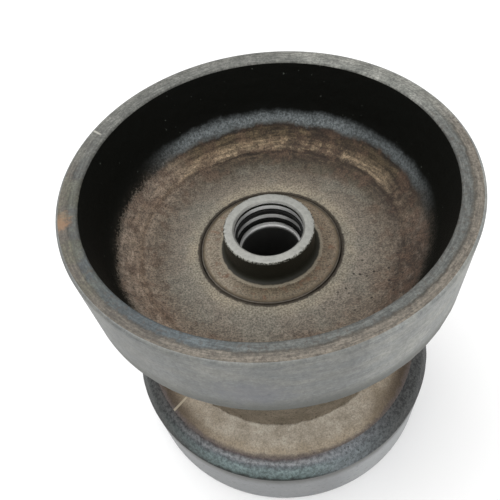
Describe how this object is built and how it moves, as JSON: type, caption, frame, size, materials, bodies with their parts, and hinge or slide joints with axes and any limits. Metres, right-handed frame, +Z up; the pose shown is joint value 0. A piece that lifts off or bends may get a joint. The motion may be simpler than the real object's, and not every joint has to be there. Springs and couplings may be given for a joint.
{
  "type": "track roller",
  "caption": "Spool-shaped undercarriage roller: two deep cup drums back to back on a thick waist, with a bored hub standing in each cup.",
  "frame": {"origin": "centre of the lower rim plane, on the roller's axis", "axes": "+Z up along the roller's axis; +X and +Y across it, no front or back"},
  "size_m": [0.25, 0.25, 0.25],
  "materials": {
    "cast_iron": "as-cast web, machined satin tread, light rust",
    "hub_steel": "turned bright on the end face and in the mouth, dark outside",
    "ring_steel": "ground",
    "bearing_steel": "polished",
    "spring_steel": "drawn wire",
    "cage_brass": "turned brass",
    "seal_rubber": "matt black, lightly greased"
  },
  "bodies": {
    "shell": {"upper_drum": "cast_iron", "upper_hub": "hub_steel", "upper_hub_o_ring": "seal_rubber", "upper_dust_seal": "seal_rubber", "upper_oil_seal": "seal_rubber", "upper_seal_spring": "spring_steel", "upper_thrust_washer": "ring_steel", "upper_bearing_cup": "bearing_steel", "lower_drum": "cast_iron", "lower_hub": "hub_steel", "lower_hub_o_ring": "seal_rubber", "lower_dust_seal": "seal_rubber", "lower_oil_seal": "seal_rubber", "lower_seal_spring": "spring_steel", "lower_thrust_washer": "ring_steel", "lower_bearing_cup": "bearing_steel"},
    "sleeve": {"inner_sleeve": "ring_steel"},
    "upper_cage": {"upper_roller_cage": "cage_brass", "upper_roller_01": "bearing_steel", "upper_roller_02": "bearing_steel", "upper_roller_03": "bearing_steel", "upper_roller_04": "bearing_steel", "upper_roller_05": "bearing_steel", "upper_roller_06": "bearing_steel", "upper_roller_07": "bearing_steel", "upper_roller_08": "bearing_steel", "upper_roller_09": "bearing_steel", "upper_roller_10": "bearing_steel", "upper_roller_11": "bearing_steel", "upper_roller_12": "bearing_steel"},
    "lower_cage": {"lower_roller_cage": "cage_brass", "lower_roller_01": "bearing_steel", "lower_roller_02": "bearing_steel", "lower_roller_03": "bearing_steel", "lower_roller_04": "bearing_steel", "lower_roller_05": "bearing_steel", "lower_roller_06": "bearing_steel", "lower_roller_07": "bearing_steel", "lower_roller_08": "bearing_steel", "lower_roller_09": "bearing_steel", "lower_roller_10": "bearing_steel", "lower_roller_11": "bearing_steel", "lower_roller_12": "bearing_steel"}
  },
  "joints": [
    {"name": "sleeve_spin", "type": "hinge", "parent": "shell", "child": "sleeve", "pos_m": [0, 0, 0.125], "axis": [0, 0, 1], "continuous": true},
    {"name": "upper_cage_spin", "type": "hinge", "parent": "shell", "child": "upper_cage", "pos_m": [0, 0, 0.16715], "axis": [0, 0, 1], "continuous": true},
    {"name": "lower_cage_spin", "type": "hinge", "parent": "shell", "child": "lower_cage", "pos_m": [0, 0, 0.08285], "axis": [0, 0, 1], "continuous": true}
  ],
  "couplings": [
    {"joint": "upper_cage_spin", "follows": "sleeve_spin", "ratio": 0.452},
    {"joint": "lower_cage_spin", "follows": "sleeve_spin", "ratio": 0.452}
  ]
}
